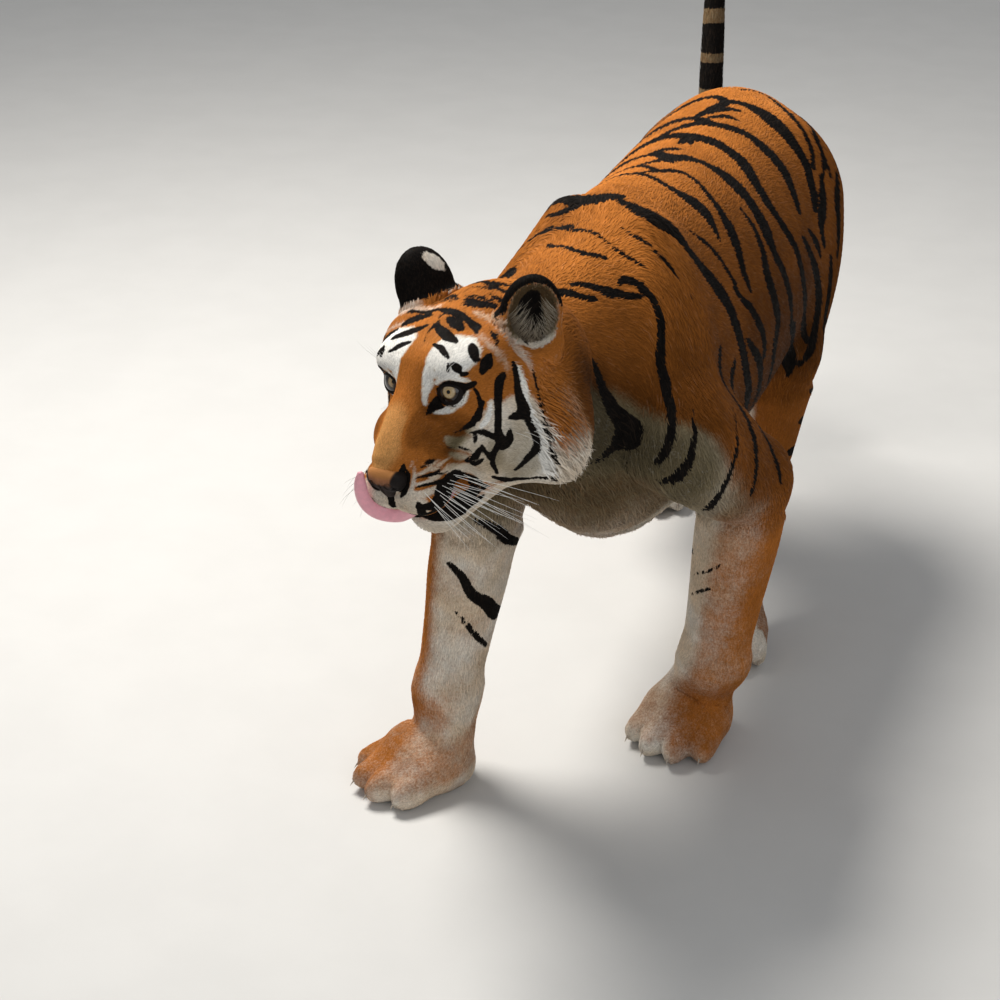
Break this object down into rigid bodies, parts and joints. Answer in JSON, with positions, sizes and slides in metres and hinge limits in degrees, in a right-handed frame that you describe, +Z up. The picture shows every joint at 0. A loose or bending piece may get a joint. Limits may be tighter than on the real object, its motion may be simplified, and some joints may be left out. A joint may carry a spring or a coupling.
{
  "type": "bengal tiger",
  "caption": "Life-size still model of an adult Bengal tiger, walking and turning its head to its right while it licks its nose, tail raised behind.",
  "frame": {"origin": "middle of the bounding box, on the floor between the paws", "axes": "+Z up, the tiger faces -Y, its left side is +X"},
  "size_m": [0.6276, 2.002, 0.973],
  "materials": {
    "striped_fur": "short dense fur, orange with black stripes, cream below",
    "pale_fur": "short dense fur, cream to pale orange with few dark bands",
    "white_fur": "soft white fur",
    "ear_fur": "short black fur with a white spot behind, pale hair inside",
    "nose": "bare, finely pebbled, slightly moist",
    "tongue": "moist and rough",
    "eye": "wet gloss"
  },
  "bodies": {
    "root": {"head": "striped_fur", "jaw": "white_fur", "nose": "nose", "tongue": "tongue", "ear_left": "ear_fur", "ear_right": "ear_fur", "eye_left": "eye", "eye_right": "eye", "neck": "striped_fur", "trunk": "striped_fur", "tail_1": "striped_fur", "tail_2": "striped_fur", "tail_3": "striped_fur", "foreleg_left_upper": "pale_fur", "foreleg_left_forearm": "pale_fur", "foreleg_left_paw": "pale_fur", "foreleg_right_upper": "pale_fur", "foreleg_right_forearm": "pale_fur", "foreleg_right_paw": "pale_fur", "hindleg_left_thigh": "striped_fur", "hindleg_left_shank": "striped_fur", "hindleg_left_foot": "striped_fur", "hindleg_right_thigh": "striped_fur", "hindleg_right_shank": "striped_fur", "hindleg_right_foot": "striped_fur"}
  },
  "joints": []
}
